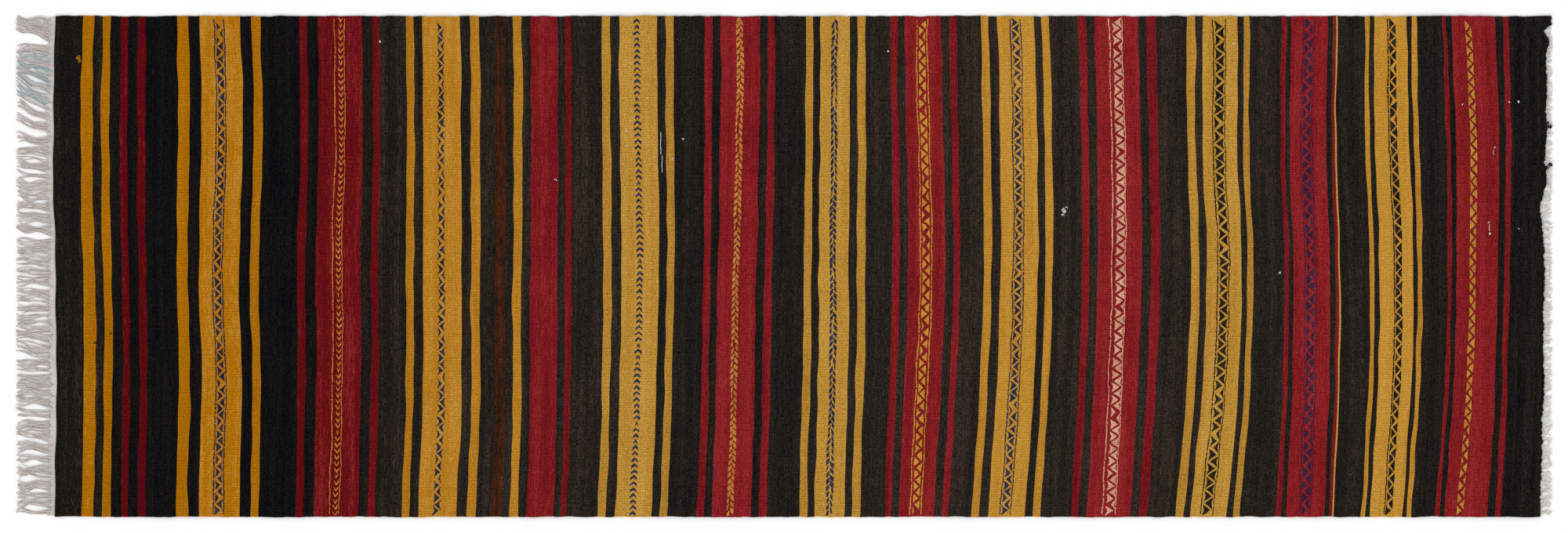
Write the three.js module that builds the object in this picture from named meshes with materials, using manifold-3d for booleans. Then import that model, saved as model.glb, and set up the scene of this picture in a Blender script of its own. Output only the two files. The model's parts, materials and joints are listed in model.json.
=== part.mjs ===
// Runner rug: a weft-faced flatweave (kilim) about 3 m long and 1 m wide, in millimetres, +Z up.
//
// The warp runs along X and shows only as the fringe at the two ends. The weft runs along Y and hides it:
// each dyed yarn is a flat sleeve around the warp, and the stripes of one yarn in one section are joined
// where the weaver carries that yarn up the selvedge, so each is a comb with its back along one long edge.
// Figured bands of a second yarn sit inside the coloured grounds. The rug folds for storage along three
// lines in dark weft, so it is made as four leaves: both end leaves turn over onto the middle ones, and
// then one half turns over onto the other.
//
// The origin is at the middle of the underside. The long fringe is at -X.
import * as THREE from "three";
import Module from "manifold-3d";
import { mergeVertices } from "three/addons/utils/BufferGeometryUtils.js";

const wasm = await Module();
wasm.setup();

// Driving dimensions of the cloth.
const WIDTH = 1000; // selvedge to selvedge
const CLOTH = 3.2; // thickness of the woven cloth
const LONG_FRINGE = 78; // loose warp ends at -X
const SHORT_FRINGE = 17; // worn stubs of warp at +X
const GAP = 0.3; // left between neighbouring solids

// The warp inside the sleeves.
const WARP = 0.8; // thickness of the sheet of warp
const SLOT = WARP + 2 * GAP; // the space that a sleeve leaves for it
const BACK = 1.5; // yarn carried up a selvedge between stripes
const EDGE = WIDTH / 2 - BACK - GAP; // where a stripe stops short of the other yarn's back
const WARP_HALF = EDGE - 2; // half the width of the sheet of warp

// The fringe is drawn as bundles of warp tied together by a root strip.
const BUNDLES = 50;
const BUNDLE_SHARE = 0.6; // share of each bundle's pitch that is yarn
const FRINGE_THICK = 2.2;
const LONG_ROOT = 8; // length of the root strip along X
const SHORT_ROOT = 6;

// Dyes of the yarns: colour and roughness.
const dyes = {
  dark: new THREE.MeshStandardMaterial({ color: 0x1e1a17, roughness: 0.95, metalness: 0 }),
  yellow: new THREE.MeshStandardMaterial({ color: 0xc38a14, roughness: 0.92, metalness: 0 }),
  tan: new THREE.MeshStandardMaterial({ color: 0xbd9038, roughness: 0.92, metalness: 0 }),
  red: new THREE.MeshStandardMaterial({ color: 0x86121f, roughness: 0.92, metalness: 0 }),
  rust: new THREE.MeshStandardMaterial({ color: 0x4a220e, roughness: 0.94, metalness: 0 }),
  orange: new THREE.MeshStandardMaterial({ color: 0xb8642a, roughness: 0.92, metalness: 0 }),
  navy: new THREE.MeshStandardMaterial({ color: 0x2a3350, roughness: 0.94, metalness: 0 }),
  gold: new THREE.MeshStandardMaterial({ color: 0xc8862e, roughness: 0.92, metalness: 0 }),
  cream: new THREE.MeshStandardMaterial({ color: 0xd0987c, roughness: 0.92, metalness: 0 }),
  purple: new THREE.MeshStandardMaterial({ color: 0x3c2038, roughness: 0.94, metalness: 0 }),
  warp: new THREE.MeshStandardMaterial({ color: 0xbcb6ae, roughness: 0.9, metalness: 0 }),
};

// The weaver's plan after the opening stripes, from -X to +X. A section is a coloured ground between two
// narrow guard stripes, with dark gaps beside the ground and a dark field after the second guard. All are
// widths along X. The figure is the band of second yarn inside the ground. A fold is a field that the rug
// folds along, and an insert is a stripe of another yarn inside the field.
const sections = [
  {
    dye: "yellow", guards: [22.5, 17], gaps: [22.5, 22], ground: 80.5,
    figure: "navy", band: 16, field: 75,
  },
  {
    dye: "red", guards: [15.5, 15], gaps: [21, 20], ground: 88.5,
    figure: "gold", band: 22, field: 54, fold: 0.5,
  },
  {
    dye: "yellow", guards: [15, 18], gaps: [18, 19.5], ground: 76,
    figure: "navy", band: 15, field: 66.5, insert: "rust",
  },
  {
    dye: "red", guards: [17, 12.5], gaps: [17, 15], ground: 54,
    first: "yellow", field: 62.5,
  },
  {
    dye: "tan", guards: [16.5, 15.5], gaps: [19, 16.5], ground: 74.5,
    figure: "navy", band: 16, field: 59.5,
  },
  {
    dye: "red", guards: [15, 15], gaps: [15.5, 15.5], ground: 78,
    figure: "gold", band: 15, field: 63.5, fold: 0.5,
  },
  {
    dye: "tan", guards: [15, 16.5], gaps: [15, 15.5], ground: 59.5,
    figure: "navy", band: 15, field: 51,
  },
  {
    dye: "red", guards: [14, 13.5], gaps: [15.5, 16.5], ground: 73,
    figure: "yellow", band: 24, field: 47.5,
  },
  {
    dye: "yellow", guards: [15.5, 15], gaps: [18, 15], ground: 73.5,
    figure: "navy", band: 22, field: 58.5,
  },
  {
    dye: "red", guards: [15, 19], gaps: [16.5, 17], ground: 87.5,
    figure: "cream", band: 28, field: 60, fold: 0.6,
  },
  {
    dye: "tan", guards: [17, 12], gaps: [14, 12], ground: 71,
    figure: "dark", band: 24, field: 65.5,
  },
  {
    dye: "red", guards: [9.5, 9.5], gaps: [9.5, 10], ground: 73.5,
    figure: "purple", band: 14, last: "orange", field: 56.5,
  },
  {
    dye: "yellow", guards: [8.5, 10], gaps: [10, 8.5], ground: 66.5,
    figure: "dark", band: 18, field: 51,
  },
  {
    dye: "red", guards: [8, 11], gaps: [10, 14], ground: 84.5,
    figure: "tan", band: 16, before: 0.36, field: 72,
  },
];

// The opening stripes beside the long fringe: dark weft between pairs of yellow and red stripes.
const opening = [
  { dye: "dark", wide: 54.5 },
  { dye: "yellow", wide: 23.5 },
  { dye: "dark", wide: 17 },
  { dye: "yellow", wide: 16.5 },
  { dye: "dark", wide: 21 },
  { dye: "red", wide: 14 },
  { dye: "dark", wide: 19.5 },
  { dye: "red", wide: 15.5 },
  { dye: "dark", wide: 62.5 },
];
const INSERT_SHARE = 0.3; // share of its field that an inserted stripe takes
const INSERT_BEFORE = 0.64; // share of the rest of that field that lies before the inserted stripe
const GROUND_BEFORE = 0.47; // usual share of a ground's plain cloth that lies before its figure

// Lays the plan out as stripes in order, each with its node, dye, leaf and place along X.
function layOut() {
  const stripes = [];
  let x = 0;
  let leaf = 0;
  const lay = (node, dye, wide) => {
    stripes.push({ node, dye, leaf, from: x, to: x + wide });
    x += wide;
  };
  for (const { dye, wide } of opening) lay(`weft_${dye}_0`, dye, wide);
  let dark = "weft_dark_0";
  sections.forEach((section, index) => {
    const number = index + 1;
    const { dye, guards, gaps, ground, figure, band = 0, before = GROUND_BEFORE, field } = section;
    const own = `weft_${dye}_${number}`;
    const first = section.first ?? dye;
    const last = section.last ?? dye;
    const plain = ground - band;
    lay(`weft_${first}_${number}`, first, guards[0]);
    lay(dark, "dark", gaps[0]);
    lay(own, dye, figure ? plain * before : plain);
    if (figure) {
      lay(`figure_${figure}_${number}`, figure, band);
      lay(own, dye, plain * (1 - before));
    }
    dark = section.fold ? `weft_dark_${number}a` : `weft_dark_${number}`;
    lay(dark, "dark", gaps[1]);
    lay(`weft_${last}_${number}`, last, guards[1]);
    if (section.insert) {
      const insert = field * INSERT_SHARE;
      lay(dark, "dark", (field - insert) * INSERT_BEFORE);
      lay(`weft_${section.insert}_${number}`, section.insert, insert);
      lay(dark, "dark", (field - insert) * (1 - INSERT_BEFORE));
    } else if (section.fold) {
      lay(dark, "dark", field * section.fold);
      leaf += 1;
      dark = `weft_dark_${number}b`;
      lay(dark, "dark", field * (1 - section.fold));
    } else {
      lay(dark, "dark", field);
    }
  });
  return stripes;
}

const stripes = layOut();
const woven = stripes[stripes.length - 1].to;
const length = LONG_FRINGE + woven + SHORT_FRINGE;
const wovenStart = LONG_FRINGE - length / 2; // X of the woven edge beside the long fringe

// A solid block between two corners.
function block(x0, x1, y0, y1, z0, z1) {
  const geometry = new THREE.BoxGeometry(x1 - x0, y1 - y0, z1 - z0);
  geometry.translate((x0 + x1) / 2, (y0 + y1) / 2, (z0 + z1) / 2);
  return geometry;
}

// A closed three.js geometry as a solid that can be joined and cut.
function toSolid(geometry) {
  const bare = geometry.clone();
  bare.deleteAttribute("normal");
  bare.deleteAttribute("uv");
  const merged = mergeVertices(bare);
  return new wasm.Manifold(
    new wasm.Mesh({
      numProp: 3,
      vertProperties: new Float32Array(merged.getAttribute("position").array),
      triVerts: new Uint32Array(merged.index.array),
    }),
  );
}

// The joined or cut solid as a three.js geometry.
function toGeometry(solid) {
  const { vertProperties, triVerts } = solid.getMesh();
  const geometry = new THREE.BufferGeometry();
  geometry.setAttribute("position", new THREE.BufferAttribute(vertProperties, 3));
  geometry.setIndex(new THREE.BufferAttribute(triVerts, 1));
  geometry.computeVertexNormals();
  return geometry;
}

const group = new THREE.Group();

// Adds one named piece in its dye.
function add(name, geometry, dye) {
  const mesh = new THREE.Mesh(geometry, dyes[dye]);
  mesh.name = name;
  group.add(mesh);
}

// One yarn's stripes as a comb of sleeves around the warp. Dark yarn is carried up the selvedge at +Y,
// coloured yarn up the one at -Y. The outline runs along the back, then around the teeth.
function comb(own) {
  const side = own[0].dye === "dark" ? 1 : -1;
  const back = (side * WIDTH) / 2;
  const throat = back - side * BACK;
  const tip = -side * EDGE;
  const teeth = own.map(({ from, to }) => [wovenStart + from + GAP / 2, wovenStart + to - GAP / 2]);
  const start = teeth[0][0];
  const end = teeth[teeth.length - 1][1];
  const outline = new THREE.Shape();
  outline.moveTo(end, back);
  outline.lineTo(start, back);
  teeth.forEach(([left, right], index) => {
    if (index > 0) outline.lineTo(left, throat);
    outline.lineTo(left, tip);
    outline.lineTo(right, tip);
    if (index < teeth.length - 1) outline.lineTo(right, throat);
  });
  outline.closePath();
  const slab = new THREE.ExtrudeGeometry(outline, { depth: CLOTH, bevelEnabled: false });
  return toGeometry(toSolid(slab).subtract(warpSlot(start, end)));
}

// A figured band: one sleeve between the two halves of its ground, inside the yarn at the selvedges.
function figuredBand({ from, to }) {
  const start = wovenStart + from + GAP / 2;
  const end = wovenStart + to - GAP / 2;
  return toGeometry(toSolid(block(start, end, -EDGE, EDGE, 0, CLOTH)).subtract(warpSlot(start, end)));
}

// The flat space for the warp through everything between two places along X.
function warpSlot(start, end) {
  const reach = 1;
  const side = WARP_HALF + GAP;
  const low = (CLOTH - SLOT) / 2;
  return toSolid(block(start - reach, end + reach, -side, side, low, low + SLOT));
}

// The sheet of warp inside one leaf.
function warpSheet(leaf) {
  const own = stripes.filter((stripe) => stripe.leaf === leaf);
  const start = wovenStart + own[0].from + GAP / 2;
  const end = wovenStart + own[own.length - 1].to - GAP / 2;
  const low = (CLOTH - WARP) / 2;
  return block(start, end, -WARP_HALF, WARP_HALF, low, low + WARP);
}

// A fringe: bundles of loose warp that leave a root strip beside the woven edge. The direction is -1 for
// bundles that point to -X and 1 for ones that point to +X.
function fringe(edge, reach, root, direction) {
  const pitch = (2 * EDGE) / BUNDLES;
  const bundle = pitch * BUNDLE_SHARE;
  const base = edge + direction * GAP;
  const throat = base + direction * root;
  const tip = edge + direction * reach;
  const outline = new THREE.Shape();
  outline.moveTo(base, -EDGE);
  outline.lineTo(throat, -EDGE);
  for (let index = 0; index < BUNDLES; index += 1) {
    const low = -EDGE + index * pitch + (pitch - bundle) / 2;
    outline.lineTo(throat, low);
    outline.lineTo(tip, low);
    outline.lineTo(tip, low + bundle);
    outline.lineTo(throat, low + bundle);
  }
  outline.lineTo(throat, EDGE);
  outline.lineTo(base, EDGE);
  outline.closePath();
  return new THREE.ExtrudeGeometry(outline, { depth: FRINGE_THICK, bevelEnabled: false });
}

const nodes = new Map();
for (const stripe of stripes) {
  nodes.set(stripe.node, [...(nodes.get(stripe.node) ?? []), stripe]);
}
for (const [name, own] of nodes) {
  add(name, name.startsWith("figure") ? figuredBand(own[0]) : comb(own), own[0].dye);
}

const leafNames = ["long_fringe_end", "middle_left", "middle_right", "short_fringe_end"];
leafNames.forEach((name, leaf) => add(`warp_${name}`, warpSheet(leaf), "warp"));
add("fringe_long", fringe(wovenStart, LONG_FRINGE, LONG_ROOT, -1), "warp");
add("fringe_short", fringe(wovenStart + woven, SHORT_FRINGE, SHORT_ROOT, 1), "warp");

export default group;
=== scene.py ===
"""The looks of a runner rug: a weft-faced flatweave in dark, yellow and red wool, with a fringe at each end.

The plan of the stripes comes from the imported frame. The cloth lies a little out of true: its weft lines lean
and bow, its selvedges wander and it ripples by a few millimetres. Along is the place in the plan along X and
across the place along Y, both in metres.
"""

import functools
import json
import logging
import math
from dataclasses import dataclass, field
from enum import Enum
from typing import Sequence

import bmesh
import bpy
import numpy as np
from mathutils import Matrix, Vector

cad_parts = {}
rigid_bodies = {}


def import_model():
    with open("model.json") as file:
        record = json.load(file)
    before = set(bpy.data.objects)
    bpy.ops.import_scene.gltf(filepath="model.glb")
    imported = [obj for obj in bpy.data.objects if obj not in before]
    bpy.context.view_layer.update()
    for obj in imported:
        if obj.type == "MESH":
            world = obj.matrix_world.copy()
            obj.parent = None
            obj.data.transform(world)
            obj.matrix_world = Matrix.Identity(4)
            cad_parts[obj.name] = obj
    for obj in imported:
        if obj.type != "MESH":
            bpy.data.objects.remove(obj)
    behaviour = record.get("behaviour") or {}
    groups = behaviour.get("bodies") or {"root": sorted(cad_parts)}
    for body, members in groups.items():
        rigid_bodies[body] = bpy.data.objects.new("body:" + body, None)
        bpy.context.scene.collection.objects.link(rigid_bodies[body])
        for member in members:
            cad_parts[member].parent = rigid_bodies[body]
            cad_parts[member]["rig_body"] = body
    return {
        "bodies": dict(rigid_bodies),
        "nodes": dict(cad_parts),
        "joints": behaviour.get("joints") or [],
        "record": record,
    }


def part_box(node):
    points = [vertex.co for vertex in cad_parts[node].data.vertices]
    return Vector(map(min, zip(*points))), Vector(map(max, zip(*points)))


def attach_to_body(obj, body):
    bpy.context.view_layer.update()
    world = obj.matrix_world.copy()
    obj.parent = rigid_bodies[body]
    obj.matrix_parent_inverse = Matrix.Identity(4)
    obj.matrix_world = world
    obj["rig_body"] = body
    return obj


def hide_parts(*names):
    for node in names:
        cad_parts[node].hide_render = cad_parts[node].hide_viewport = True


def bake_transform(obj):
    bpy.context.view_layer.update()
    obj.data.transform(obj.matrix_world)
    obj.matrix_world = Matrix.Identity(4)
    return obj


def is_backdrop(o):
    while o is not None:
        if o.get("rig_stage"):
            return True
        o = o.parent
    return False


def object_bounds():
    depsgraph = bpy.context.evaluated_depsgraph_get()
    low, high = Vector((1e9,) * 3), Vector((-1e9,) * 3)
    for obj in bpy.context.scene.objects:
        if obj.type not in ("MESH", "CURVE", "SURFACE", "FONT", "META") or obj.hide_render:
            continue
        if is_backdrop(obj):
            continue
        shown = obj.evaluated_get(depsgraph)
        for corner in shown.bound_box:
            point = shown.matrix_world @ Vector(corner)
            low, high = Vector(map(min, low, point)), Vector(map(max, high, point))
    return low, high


log = logging.getLogger("rug")

MM = 0.001
BAKE_MARGIN = 0.004  # share of a bake layout that stays empty beside each selvedge


def linear(code: str) -> tuple[float, float, float, float]:
    """Turn a display colour into the shader's.

    Args:
        code: The colour as six hexadecimal digits.

    Returns:
        Red, green, blue and alpha, with red, green and blue in linear light.
    """
    parts = [int(code[start : start + 2], 16) / 255 for start in (0, 2, 4)]
    light = [part / 12.92 if part <= 0.04045 else ((part + 0.055) / 1.055) ** 2.4 for part in parts]
    return (light[0], light[1], light[2], 1.0)


@dataclass(frozen=True)
class Waves:
    """Smooth seeded noise over the plan, mostly between -1 and 1."""

    seed: int
    along: float  # usual wavelength along the rug
    across: float  # usual wavelength across it
    count: int = 14

    def __call__(self, along: np.ndarray, across: np.ndarray) -> np.ndarray:
        """Sum the waves.

        Args:
            along: Places along the rug.
            across: Places across it.

        Returns:
            The noise at each place.
        """
        rng = np.random.default_rng(self.seed)
        total = np.zeros(np.broadcast(along, across).shape)
        for _ in range(self.count):
            turn, phase = rng.uniform(0, 2 * math.pi, 2)
            pace = 2 * math.pi * rng.uniform(0.55, 1.6)
            total += np.sin(
                pace * (math.cos(turn) * along / self.along + math.sin(turn) * across / self.across) + phase
            )
        return total / math.sqrt(self.count)


def smooth_curve(share: np.ndarray, readings: Sequence[np.ndarray]) -> np.ndarray:
    """Draw a smooth curve through evenly spaced readings.

    Args:
        share: Places from 0 at the first reading to 1 at the last.
        readings: The readings, each one number or one for each place.

    Returns:
        The curve at each place.
    """
    rows = np.stack(np.broadcast_arrays(share, *readings))
    share, rows = rows[0], rows[1:]
    slopes = np.gradient(rows, axis=0)
    walk = np.clip(share, 0, 1) * (len(rows) - 1)
    index = np.minimum(walk.astype(int), len(rows) - 2)
    part = walk - index
    before, after, leave, arrive = (
        np.take_along_axis(table, (index + step)[None], axis=0)[0]
        for table, step in ((rows, 0), (rows, 1), (slopes, 0), (slopes, 1))
    )
    square, cube = part**2, part**3
    ends = before * (2 * cube - 3 * square + 1) + after * (3 * square - 2 * cube)
    return ends + leave * (cube - 2 * square + part) + arrive * (cube - square)


@dataclass(frozen=True)
class Fold:
    """One line that the rug folds along, and the strip of cloth that bends there."""

    parent: str
    child: str
    place: float
    height: float
    towards: int  # 1 where the child lies at +X of the fold and -1 at -X
    reach: float  # length of cloth that bends

    @property
    def end(self) -> float:
        """Where the bending cloth meets the flat cloth of the child."""
        return self.place + self.towards * self.reach

    def holds(self, low: float, high: float) -> bool:
        """Tell whether cloth between two places along X reaches into the bend."""
        start, stop = sorted((self.place, self.end))
        return low < stop and high > start


@dataclass(frozen=True)
class Stripe:
    """One stripe of one yarn, between two seams of the plan."""

    node: str
    start: float
    end: float

    @property
    def middle(self) -> float:
        """The middle of the stripe along the rug."""
        return (self.start + self.end) / 2

    @property
    def wide(self) -> float:
        """The width of the stripe along the rug."""
        return self.end - self.start


@dataclass
class Plan:
    """The weaver's plan, read from the frame."""

    frame: dict
    stripes: list[Stripe] = field(default_factory=list)
    folds: list[Fold] = field(default_factory=list)
    half: float = 0.0
    thick: float = 0.0
    bend: float = 2.5  # length of bending cloth for each unit of a fold's height over the floor

    def __post_init__(self) -> None:
        """Read the stripes, the folds and the cloth's size."""
        names = [name for name in self.frame["nodes"] if name.startswith(("weft", "figure"))]
        edges = sorted(edge + (name,) for name in names for edge in self.teeth(name))
        seams = [edges[0][0]]
        seams += [(left[1] + right[0]) / 2 for left, right in zip(edges, edges[1:])]
        seams.append(edges[-1][1])
        self.stripes = [Stripe(edge[2], *pair) for edge, pair in zip(edges, zip(seams, seams[1:]))]
        low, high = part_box("weft_dark_0")
        self.half = high.y
        self.thick = high.z - low.z
        for joint in self.frame["joints"]:
            place, _, height = joint["pos_m"]
            low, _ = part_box(f"warp_{joint['child']}")
            towards = 1 if low.x > place - MM else -1
            reach = height * self.bend
            self.folds.append(Fold(joint["parent"], joint["child"], place, height, towards, reach))

    def teeth(self, name: str) -> list[tuple[float, float]]:
        """Find the two sides of each stripe of a yarn, at the free ends of its stripes.

        Args:
            name: The yarn's CAD node.

        Returns:
            A start and an end along X for each stripe.
        """
        points = np.array([vertex.co for vertex in self.frame["nodes"][name].data.vertices])
        low, high = points[:, 1].min(), points[:, 1].max()
        free = low if abs(low) < abs(high) - 0.1 * MM else high
        sides = sorted(set(np.round(points[np.abs(points[:, 1] - free) < 0.01 * MM, 0], 6)))
        return list(zip(sides[::2], sides[1::2]))

    def of(self, node: str) -> list[Stripe]:
        """List the stripes of one yarn."""
        return [stripe for stripe in self.stripes if stripe.node == node]

    def body(self, node: str) -> str:
        """Name the body that a CAD node rides on."""
        return self.frame["nodes"][node]["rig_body"]

    def bake_share(self, across: np.ndarray) -> np.ndarray:
        """Turn places across the rug into shares of a bake layout, with a thin margin at both sides."""
        return BAKE_MARGIN + (1 - 2 * BAKE_MARGIN) * (across + self.half) / (2 * self.half)

    def leaf(self, place: float) -> str:
        """Name the body that carries the flat cloth at a place along X."""
        home = min(self.stripes, key=lambda stripe: abs(stripe.middle - place))
        return self.body(home.node)

    @property
    def start(self) -> float:
        """The woven edge beside the long fringe."""
        return self.stripes[0].start

    @property
    def end(self) -> float:
        """The woven edge beside the short fringe."""
        return self.stripes[-1].end


# How far the weft lines of each section stray along X, in millimetres, at five places from the +Y selvedge
# to the -Y one. Section 0 is the opening stripes, and the last one is the woven end.
STRAYS = {
    0: (-1, -4, 0, 2, -2),
    1: (-1, 3, -4, 2, -2),
    2: (5, 6, 0, 0, -6),
    3: (1, 3, 4, 3, -6),
    4: (3, 5, 2, 3, -6),
    5: (1, 2, 8, 2, -9),
    6: (10, 7, 1, -4, -12),
    7: (4, 3, 1, -1, -6),
    8: (0, 5, 9, -1, -13),
    9: (3, 8, 8, 0, -19),
    10: (-1, 7, 8, 1, -13),
    11: (3, 4, 12, 4, -24),
    12: (2, -3, 2, 2, -6),
    13: (-3, -1, 11, 6, -12),
    14: (-2, 10, 10, 0, -17),
    15: (8, 5, 4, -2, -5),
}

# How far the worn end stands out, in millimetres, at places across the rug.
BITES = (
    (-0.50, 0),
    (0.00, 0),
    (0.07, -2),
    (0.10, -6),
    (0.118, -8),
    (0.15, -1),
    (0.175, 5),
    (0.20, 2),
    (0.26, 1),
    (0.28, 3),
    (0.30, 0),
    (0.41, 0),
    (0.43, 1),
    (0.44, 5),
    (0.455, 4),
    (0.464, -4),
    (0.472, -7),
    (0.482, 5),
    (0.50, 8),
)


@dataclass
class Cloth:
    """Where each point of the woven cloth lies."""

    plan: Plan
    ripple: float = 3.0 * MM  # height of the ripple from hollow to crest
    ripple_waves: Waves = Waves(31, 0.3, 0.42)
    sway: float = 0.9 * MM  # slow wandering of the weft lines
    sway_waves: Waves = Waves(11, 0.35, 0.45)
    beat: float = 0.9 * MM  # unevenness of the single weft line
    beat_waves: Waves = Waves(12, 0.03, 0.13)
    bulge: float = 0.6 * MM  # wandering of the selvedges
    bulge_waves: Waves = Waves(21, 0.07, 1)
    turn_waves: Waves = Waves(22, 0.02, 1)  # the smaller wander where the weft turns at a selvedge
    wear: float = 1.2 * MM  # broad wear of the worn end, besides its bites
    wear_waves: Waves = Waves(15, 1, 0.13)
    fray: float = 1.1 * MM  # raggedness of the worn end
    fray_waves: Waves = Waves(13, 1, 0.02)
    hair_waves: Waves = Waves(14, 1, 0.007)  # its finest raggedness
    calm: float = 0.12  # how far from a fold the ripple fades
    border: float = 0.06  # share of the half width that a selvedge's wandering reaches in

    def __post_init__(self) -> None:
        """Place the seams and each section's drift along the rug."""
        self.seams = np.array([stripe.start for stripe in self.plan.stripes] + [self.plan.end])
        self.places = np.array([self.section_place(number) for number in STRAYS])
        self.strays = np.array(list(STRAYS.values())) * MM

    def section_place(self, number: int) -> float:
        """Find the middle of a section.

        Args:
            number: The section, with 0 for the opening stripes and the last one for the woven end.

        Returns:
            The place along the rug.
        """
        coloured = [stripe for stripe in self.plan.stripes if "dark" not in stripe.node]
        found = [stripe for stripe in coloured if stripe.node.split("_")[2] == str(number)]
        if not found:
            return self.plan.end
        return (found[0].start + found[-1].end) / 2

    def stray(self, place: np.ndarray, across: np.ndarray) -> np.ndarray:
        """Find how far the weft line of one place strays along X.

        Args:
            place: The line's place in the plan.
            across: Places across the rug.

        Returns:
            The stray at each place across.
        """
        readings = [np.interp(place, self.places, column) for column in self.strays.T]
        stray = smooth_curve((1 - across / self.plan.half) / 2, readings)
        stray = stray + self.sway * self.sway_waves(place, across)
        stray = stray + self.beat * self.beat_waves(place, across)
        edge = np.zeros_like(place)
        bites = np.interp(across, *zip(*BITES)) * MM + self.wear * self.wear_waves(edge, across)
        ragged = self.fray * (self.fray_waves(edge, across) + 0.8 * self.hair_waves(edge, across))
        return stray + (bites + ragged) * (place > self.plan.end - MM)

    def lay(self, along: np.ndarray, across: np.ndarray, height: np.ndarray) -> np.ndarray:
        """Lay points of the plan on the floor.

        Args:
            along: Places along the rug.
            across: Places across it.
            height: Heights over the underside of the cloth.

        Returns:
            The points, with their three coordinates last.
        """
        along, across, height = np.broadcast_arrays(along, across, height)
        index = np.clip(np.searchsorted(self.seams, along, side="right") - 1, 0, len(self.seams) - 2)
        before, after = self.seams[index], self.seams[index + 1]
        share = np.clip((along - before) / (after - before), 0, 1)
        x = along + self.stray(before, across) * (1 - share) + self.stray(after, across) * share
        side = np.sign(across)
        near = np.clip((np.abs(across / self.plan.half) - 1 + self.border) / self.border, 0, 1) ** 2
        wander = self.bulge_waves(along, side) + 0.6 * self.turn_waves(along, side)
        y = across + side * near * self.bulge * wander
        return np.stack([x, y, self.rise(x, y) + height], axis=-1)

    def rise(self, x: np.ndarray, y: np.ndarray) -> np.ndarray:
        """Find how high the underside lies.

        Folded leaves nest, because each mirrors the one that it folds onto.

        Args:
            x: Places along X.
            y: Places along Y.

        Returns:
            The heights over the floor.
        """
        first, second, third = sorted(fold.place for fold in self.plan.folds)
        sign = np.ones_like(x)
        for place, side in ((third, 1), (second, 1), (first, -1)):
            beyond = (x - place) * side > 0
            x = np.where(beyond, 2 * place - x, x)
            sign = np.where(beyond, -sign, sign)
        near = np.clip(np.minimum(x - first, second - x) / self.calm, 0, 1)
        swell = np.tanh(1.1 * self.ripple_waves(x, y)) * near**2 * (3 - 2 * near)
        return self.ripple / 2 * (1 + sign * swell)


class Shells:
    """Closed shells gathered into one mesh, with the plan and a bake layout as its UV maps."""

    def __init__(self) -> None:
        """Start with no shells."""
        self.points: list[np.ndarray] = []
        self.faces: list[list[int]] = []
        self.plan: list[np.ndarray] = []
        self.shade: list[np.ndarray] = []
        self.bake: list[np.ndarray] = []
        self.count = 0

    def add(
        self,
        points: np.ndarray,
        faces: Sequence[Sequence[int]],
        plan: np.ndarray,
        bake: np.ndarray,
        shade: np.ndarray | float,
    ) -> None:
        """Add one shell.

        Args:
            points: Its vertices.
            faces: Its faces, as rows of vertex numbers.
            plan: The plan place of each vertex.
            bake: The bake layout of each face corner, in the order of the faces.
            shade: How pale, above 0, or deep, below 0, its yarn is dyed.
        """
        self.points.append(points)
        self.faces += [[corner + self.count for corner in face] for face in faces]
        self.plan.append(plan)
        self.bake.append(bake)
        self.shade.append(np.broadcast_to(shade, len(points)))
        self.count += len(points)

    def build(self, name: str, material: bpy.types.Material, sharp: float = 40.0) -> bpy.types.Object:
        """Make the mesh and its object.

        Args:
            name: The piece's name.
            material: Its material.
            sharp: The angle between faces, in degrees, above which an edge stays sharp.

        Returns:
            The object, linked to the scene.
        """
        mesh = bpy.data.meshes.new(name)
        mesh.from_pydata(np.concatenate(self.points).tolist(), [], self.faces)
        corners = np.zeros(len(mesh.loops), dtype=np.int32)
        mesh.loops.foreach_get("vertex_index", corners)
        plan = np.concatenate(self.plan)[corners]
        mesh.uv_layers.new(name="plan").data.foreach_set("uv", plan.astype(np.float32).ravel())
        bake = np.concatenate(self.bake)
        mesh.uv_layers.new(name="OFBake").data.foreach_set("uv", bake.astype(np.float32).ravel())
        shade = mesh.attributes.new("shade", "FLOAT", "POINT")
        shade.data.foreach_set("value", np.concatenate(self.shade).astype(np.float32))
        mesh.materials.append(material)
        mesh.validate()
        piece = bpy.data.objects.new(name, mesh)
        bpy.context.scene.collection.objects.link(piece)
        select_only(piece)
        bpy.ops.object.shade_smooth_by_angle(angle=math.radians(sharp))
        return piece


def select_only(piece: bpy.types.Object) -> None:
    """Select one object alone and make it active.

    Args:
        piece: The object.
    """
    bpy.ops.object.select_all(action="DESELECT")
    piece.select_set(True)
    bpy.context.view_layer.objects.active = piece


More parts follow.
